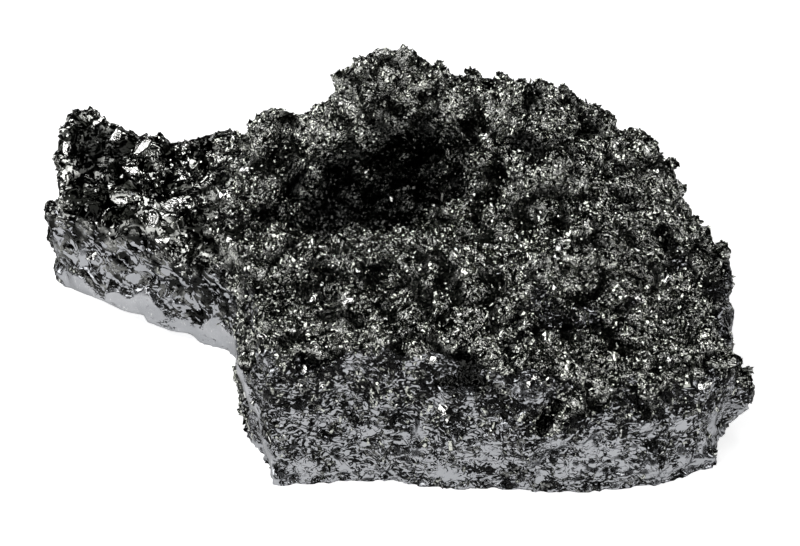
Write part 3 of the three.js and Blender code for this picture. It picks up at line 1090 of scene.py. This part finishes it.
@dataclass
class Crop:
    """A crop of crystals grown over part of the body.

    Attributes:
        name: The piece's name.
        habit: The crystals' form.
        finish: Their finish.
        per_mm2: Crystals to a square millimetre where they are thickest.
        sizes: Smallest and largest crystal, in millimetres.
        stretch: How the crystal's own form is stretched along its axes.
        sunk: How deep a crystal's middle lies, as a share of its size.
        seed: Seed of the random draws.
        coarse: The share of crystals that grow on fine metal and on coarse metal.
        lying: How far the crystals lie down flat on the surface, from 0 to 1.
        strewn: How far the crystals of one bundle lean from each other, in radians.
    """

    name: str
    habit: Habit
    finish: Boron
    per_mm2: float
    sizes: Span
    stretch: Point
    sunk: float
    seed: int
    coarse: Span
    lying: float
    strewn: float = 0.8

    def grow(self, body: Object) -> Object:
        """Grows the crystals on the body.

        Args:
            body: The finished body.

        Returns:
            One piece with all the crystals joined.
        """
        piece = new_object(self.name, body.data.copy())
        seedling = bpy.data.objects.new(self.habit.value, self.habit.mesh())
        run_tree(piece, self.growth(seedling))
        bpy.data.objects.remove(seedling)
        piece.data.shade_flat()
        piece.data.materials.clear()
        piece.data.materials.append(self.finish.crystals())
        bake_map(piece.data)
        return piece

    def growth(self, seedling: Object) -> Tree:
        """The tree that scatters, turns and sizes the crystals.

        Args:
            seedling: One crystal, as an object.

        Returns:
            The geometry tree.
        """
        nodes, (source,) = new_tree(self.name, "Geometry", GEOMETRY, GEOMETRY)
        scatter = nodes.fill(
            nodes.add("GeometryNodeDistributePointsOnFaces", source, distribute_method="RANDOM"),
            {"Density": nodes.times(self.bare(nodes), self.per_mm2 / MM**2), "Seed": self.seed})
        here = nodes.add("GeometryNodeInputPosition").outputs[0]
        normal = scatter.outputs["Normal"]
        bundle = nodes.scaled(nodes.noise(here, BUNDLES).outputs[1], BUNDLE_TURNS * math.tau)
        lean = self.draw(nodes, "FLOAT_VECTOR", (-self.strewn,) * 3, (self.strewn,) * 3, 1)
        turn = nodes.add("FunctionNodeAlignRotationToVector", nodes.vector("ADD", bundle, lean),
                         self.lying, normal, axis="Z").outputs[0]
        least, most = self.sizes
        size = nodes.math("POWER", self.draw(nodes, "FLOAT", 0.0, 1.0, 2), SIZE_POWER)
        size = nodes.math("MULTIPLY_ADD", size, (most - least) * MM, least * MM)
        way_in = nodes.scaled(normal, nodes.times(size, -self.sunk))
        points = nodes.fill(nodes.add("GeometryNodeSetPosition", scatter.outputs["Points"]),
                            {"Offset": way_in})
        crystal = nodes.add("GeometryNodeObjectInfo", seedling).outputs["Geometry"]
        grown = nodes.fill(
            nodes.add("GeometryNodeInstanceOnPoints", points.outputs[0]),
            {"Instance": crystal, "Rotation": turn, "Scale": nodes.scaled(self.stretch, size)})
        whole = nodes.add("GeometryNodeRealizeInstances", grown.outputs[0]).outputs[0]
        nodes.add("NodeGroupOutput", whole)
        return nodes.tree

    def bare(self, nodes: Nodes) -> Socket:
        """How much room there is for these crystals at a place.

        Args:
            nodes: The tree to work in.

        Returns:
            From 0 to 1.
        """
        coarse = nodes.read(Mask.COARSE)
        glass = nodes.times(glassy(nodes, nodes.read(Mask.REST, "FLOAT_VECTOR")), coarse)
        in_pits = nodes.mix(coarse, *GROWN_IN_PITS)
        return nodes.times(
            nodes.minus(1.0, nodes.read(Mask.FLAT)),
            nodes.ramp(nodes.read(Mask.SKIN), Edge.OVERGROWN, 1.0, in_pits),
            nodes.read(Mask.CRUST),
            nodes.ramp(nodes.read(Mask.GAP), Edge.ALL, 1.0, GROWN_IN_GAPS),
            nodes.mix(coarse, *self.coarse),
            nodes.ramp(glass, Edge.ALL, 1.0, GROWN_ON_GLASS),
            self.clear_of_box(nodes))

    def clear_of_box(self, nodes: Nodes) -> Socket:
        """Whether a place is so far inside the solid's box that no crystal can reach its sides.

        Args:
            nodes: The tree to work in.

        Returns:
            1 where it is, and 0 elsewhere.
        """
        reach = REACH * self.sizes[1] * max(self.stretch) * MM
        low, high = (Vector(corner) for corner in CAD_BOX)
        middle, half = (low + high) / 2, (high - low) / 2 - Vector((reach,) * 3)
        place = nodes.add("GeometryNodeInputPosition").outputs[0]
        off = nodes.vector("ABSOLUTE", nodes.vector("SUBTRACT", place, tuple(middle)))
        split = nodes.add("ShaderNodeSeparateXYZ", off).outputs
        return nodes.times(*(nodes.math("LESS_THAN", *pair) for pair in zip(split, half)))

    def draw(self, nodes: Nodes, kind: str, low: object, high: object, step: int) -> Socket:
        """A random value for each point.

        Args:
            nodes: The tree to work in.
            kind: The value's type.
            low: The least value.
            high: The largest value.
            step: Sets this draw apart from the crop's others.

        Returns:
            The value.
        """
        node = nodes.add("FunctionNodeRandomValue", data_type=kind)
        first = 0 if kind == "FLOAT_VECTOR" else 2
        nodes.fill(node, {first: low, first + 1: high, "Seed": 10 * self.seed + step})
        return next(out for out in node.outputs if out.enabled)


CROPS = (
    Crop("fine_blocks", Habit.BLOCK, FINE, 7.4, (0.2, 0.44), (2.2, 0.74, 0.58), 0.16, 11,
         (1.0, 0.06), 0.68),
    Crop("fine_points", Habit.BIPYRAMID, FINE, 10.6, (0.24, 0.49), (1.8, 0.64, 0.7), 0.16, 23,
         (1.0, 0.06), 0.64),
    Crop("blades", Habit.PLATE, BLADES, 2.1, (0.3, 0.7), (1.6, 0.8, 0.7), 0.2, 37,
         (1.0, 0.9), 0.6),
    Crop("arm_blades", Habit.PLATE, BLADES, 2.3, (0.5, 1.2), (1.5, 0.8, 0.4), 0.3, 41,
         (0.0, 1.0), 0.84),
)


UNEVEN = 0.3
RIM_RADII = (0.65, 1.1)
UNDERSIDE = 0.8


@dataclass
class Flakes:
    """The lump's largest bright flakes, each let into the body at its own place.

    Attributes:
        name: The piece's name.
        finish: Their finish.
        facing: The way they face, so that they all flash together.
        strewn: How far each turns away from that at random.
        sides: Corners of a flake.
        stretch: A flake's length, width and thickness, as shares of its size.
        dome: How far its middle stands over its rim, as a share of its size.
        proud: How far its middle stands off the body, as a share of its size.
        seed: Seed of the random draws.
        beds: Place and size of each flake, in millimetres.
    """

    name: str = "flakes"
    finish: Boron = FLAKE
    facing: Point = (-0.24, -0.68, 0.70)
    strewn: float = 0.16
    sides: int = 7
    stretch: Point = (1.5, 0.9, 0.22)
    dome: float = 0.1
    proud: float = 0.34
    seed: int = 5
    beds: tuple[tuple[Point, float], ...] = (
        ((-25.8, 13.1, 16.2), 0.9), ((-25.5, 9.0, 15.2), 1.2), ((-21.6, 10.2, 15.5), 1.1),
        ((-19.5, 9.9, 15.2), 1.5), ((-20.2, 8.1, 13.7), 1.3), ((-16.0, 7.6, 13.3), 1.2),
        ((-16.5, 4.8, 12.2), 1.5), ((-20.8, 5.3, 12.3), 0.9), ((-18.0, 3.7, 11.4), 1.3),
        ((-17.3, 3.3, 9.8), 0.9), ((-23.6, 6.0, 6.9), 0.9), ((-12.8, 1.8, 8.4), 0.7),
        ((-23.0, 10.7, 16.9), 0.8), ((-26.6, 9.7, 12.1), 0.7), ((-8.7, -15.0, 11.2), 0.7),
        ((-6.1, -14.9, 11.8), 0.6), ((-5.2, -16.6, 9.6), 0.7), ((-4.2, -17.0, 8.3), 0.6),
        ((-5.7, -17.1, 8.4), 0.6), ((5.7, -15.1, 11.4), 0.8), ((3.9, -17.5, 10.8), 0.8),
        ((5.0, -18.2, 6.9), 1.0), ((5.3, -18.2, 6.3), 0.9), ((11.1, -17.7, 9.0), 0.9),
        ((-5.2, -9.1, 11.2), 0.6), ((-2.3, -12.3, 12.8), 0.7), ((13.4, -9.2, 15.5), 0.6),
        ((18.4, -2.5, 15.0), 0.6), ((21.3, -14.1, 8.7), 0.7), ((24.0, -15.4, 7.5), 1.0),
        ((8.2, 3.6, 18.9), 0.6), ((1.2, 5.2, 12.5), 0.4), ((19.6, -8.9, 11.1), 0.6),
        ((-12.5, 4.9, 13.1), 0.8), ((-10.8, 6.1, 14.8), 0.6))

    def lay(self, body: Object) -> Object:
        """Lays the flakes on the body.

        Args:
            body: The finished body.

        Returns:
            One piece with all the flakes joined.
        """
        draws = np.random.default_rng(self.seed)
        surface = BVHTree.FromPolygons([vert.co for vert in body.data.vertices],
                                       [tuple(face.vertices) for face in body.data.polygons])
        mesh = bpy.data.meshes.new(self.name)
        with editing(mesh) as work:
            for place, size in self.beds:
                bed = surface.find_nearest(Vector(place) * MM)[0]
                way = Vector(self.facing) + Vector(draws.uniform(-self.strewn, self.strewn, 3))
                spin = Matrix.Rotation(draws.uniform(0.0, math.tau), 3, "Z")
                turn = way.to_track_quat("Z", "Y").to_matrix() @ spin
                set_in = Matrix.LocRotScale(bed, turn, Vector((size * MM,) * 3))
                bmesh.ops.transform(work, matrix=set_in, verts=self.cut(work, draws))
            bmesh.ops.triangulate(work, faces=work.faces)
            bmesh.ops.recalc_face_normals(work, faces=work.faces)
        mesh.shade_flat()
        mesh.materials.append(self.finish.crystals())
        bake_map(mesh)
        return new_object(self.name, mesh)

    def cut(
            self, work: bmesh.types.BMesh, draws: np.random.Generator,
    ) -> list[bmesh.types.BMVert]:
        """Models a flake 1 unit across: an uneven rim, drawn in and down, with pointed middles.

        Args:
            work: The mesh, open to edit.
            draws: The random draws.

        Returns:
            The flake's corners.
        """
        shift = draws.uniform(-UNEVEN, UNEVEN, self.sides)
        angles = (np.arange(self.sides) + shift) * math.tau / self.sides
        out = HALF * draws.uniform(*RIM_RADII, self.sides)
        long, wide, thick = self.stretch
        rim = [work.verts.new((long * r * math.cos(t), wide * r * math.sin(t), self.proud))
               for r, t in zip(out, angles)]
        top = work.faces.new(rim)
        drawn = bmesh.ops.extrude_face_region(work, geom=[top])["geom"]
        under = [part for part in drawn if isinstance(part, bmesh.types.BMVert)]
        bottom = next(part for part in drawn if isinstance(part, bmesh.types.BMFace))
        bmesh.ops.scale(work, verts=under, vec=(UNDERSIDE,) * 3)
        bmesh.ops.translate(work, verts=under, vec=(0.0, 0.0, -thick))
        middles = [bmesh.ops.poke(work, faces=[face])["verts"][0] for face in (top, bottom)]
        for middle, height in zip(middles, (self.proud + self.dome, -thick)):
            middle.co = (0.0, 0.0, height)
        return [*rim, *under, *middles]


# ---- the studio ----


FLOOR_LOOK = {
    "Base Color": (0.86, 0.86, 0.86, 1.0), "Roughness": 0.9, "Specular IOR Level": 0.0,
    "Emission Color": (1.0, 1.0, 1.0, 1.0), "Emission Strength": 0.72}
FLOOR_DROP = 0.02
PALE_BAND = (0.8, 0.8, 0.81, 1.0)
DARK_ROOM = (0.005, 0.005, 0.005, 1.0)


@dataclass(frozen=True)
class Lamp:
    """A soft box.

    Attributes:
        name: Its name.
        azimuth: Where it stands, in degrees round from the front towards the right.
        elevation: How high it stands over the horizon, in degrees.
        distance: How far from the lump, in metres.
        size: Its width and height, in metres.
        radiance: How bright its face is.
    """

    name: str
    azimuth: float
    elevation: float
    distance: float
    size: Span
    radiance: float

    def hang(self, target: Vector) -> None:
        """Hangs the lamp so that it faces the target.

        Args:
            target: The point that it faces, in metres.
        """
        light = bpy.data.lights.new(self.name, "AREA")
        light.shape = "RECTANGLE"
        light.size, light.size_y = self.size
        light.energy = self.radiance * math.pi * self.size[0] * self.size[1]
        away = direction(self.azimuth, self.elevation)
        lamp = new_object(self.name, light)
        lamp.location = target + away * self.distance
        lamp.rotation_mode = "QUATERNION"
        lamp.rotation_quaternion = away.to_track_quat("Z", "Y")
        lamp.visible_camera = False


def direction(azimuth: float, elevation: float) -> Vector:
    """The way to a place seen from the lump: azimuth 0 is its front, 90 its right.

    Args:
        azimuth: Degrees round from the front.
        elevation: Degrees over the horizon.

    Returns:
        The way there, 1 long.
    """
    turn, rise = math.radians(azimuth), math.radians(elevation)
    flat = math.cos(rise)
    return Vector((math.sin(turn) * flat, -math.cos(turn) * flat, math.sin(rise)))


@dataclass
class Studio:
    """The floor, the light and the camera.

    Attributes:
        target: The point that the camera looks at.
        camera_distance: How far the camera stands from it, in metres.
        camera_elevation: How high the camera stands, in degrees.
        lens: The camera's focal length, in millimetres.
        clip_start: The nearest that the camera sees, in metres.
        floor_size: Edge of the floor, in metres.
        lamps: The soft boxes.
    """

    target: Point = (1.56 * MM, -0.71 * MM, 9.0 * MM)
    camera_distance: float = 0.175
    camera_elevation: float = 28.0
    lens: float = 100.0
    clip_start: float = 0.005
    floor_size: float = 3.0
    lamps: tuple[Lamp, ...] = (
        Lamp("key", -50.0, 55.0, 0.55, (0.36, 0.36), 3.5),
        Lamp("fill", 60.0, 40.0, 0.60, (0.25, 0.25), 3.4),
        Lamp("back", 165.0, 50.0, 0.60, (0.34, 0.21), 3.5),
        Lamp("low", -30.0, 17.0, 0.60, (0.20, 0.11), 3.5),
        Lamp("left", -85.0, 30.0, 0.60, (0.26, 0.26), 3.4),
    )

    def build(self) -> None:
        """Sets up the whole studio."""
        self.lay_floor()
        self.shade_sky()
        for lamp in self.lamps:
            lamp.hang(Vector(self.target))
        self.set_camera()
        bpy.context.scene.view_settings.view_transform = "Standard"

    def lay_floor(self) -> None:
        """Lays a plain pale floor just under the lump's foot."""
        mesh = bpy.data.meshes.new("floor")
        with editing(mesh) as work:
            bmesh.ops.create_grid(work, x_segments=1, y_segments=1, size=self.floor_size / 2)
            bmesh.ops.translate(work, verts=work.verts, vec=(0.0, 0.0, -FLOOR_DROP * MM))
        floor = new_object("floor", mesh)
        mesh.materials.append(new_material("floor_paper", FLOOR_LOOK)[0])

    def shade_sky(self) -> None:
        """A dark room with a pale band low round the floor."""
        world = bpy.data.worlds.new("room")
        world.use_nodes = True
        bpy.context.scene.world = world
        nodes = Nodes(world.node_tree)
        way = nodes.add("ShaderNodeTexCoord").outputs["Generated"]
        height = nodes.add("ShaderNodeSeparateXYZ", way).outputs[2]
        colour = nodes.mix_colour(nodes.ramp(height, Edge.HORIZON), PALE_BAND, DARK_ROOM)
        nodes.feed(world.node_tree.nodes["Background"].inputs["Color"], colour)

    def set_camera(self) -> None:
        """Sets the camera in front of the lump, looking down at it."""
        data = bpy.data.cameras.new("camera")
        data.lens, data.clip_start = self.lens, self.clip_start
        camera = new_object("camera", data)
        away = direction(0.0, self.camera_elevation)
        camera.location = Vector(self.target) + away * self.camera_distance
        camera.rotation_mode = "QUATERNION"
        camera.rotation_quaternion = away.to_track_quat("Z", "Y")
        bpy.context.scene.camera = camera


# ---- main ----


def attach(piece: Object) -> None:
    """Makes a piece part of the row: it rides on the body and stands for the solid.

    Args:
        piece: The finished piece.
    """
    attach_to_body(piece, BODY)
    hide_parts(NODE)
    piece.data.calc_loop_triangles()
    log.info("%s: %d triangles", piece.name, len(piece.data.loop_triangles))


def main() -> None:
    """Builds the lump and the studio."""
    logging.basicConfig(level=logging.INFO, format="%(message)s")
    Studio().build()
    body = Body().build()
    crops = [crop.grow(body) for crop in CROPS]
    flakes = Flakes().lay(body)
    body.data.materials.append(OPEN.body())
    bake_map(body.data)
    for piece in (body, *crops, flakes):
        attach(piece)


if __name__ == "__main__":
    main()
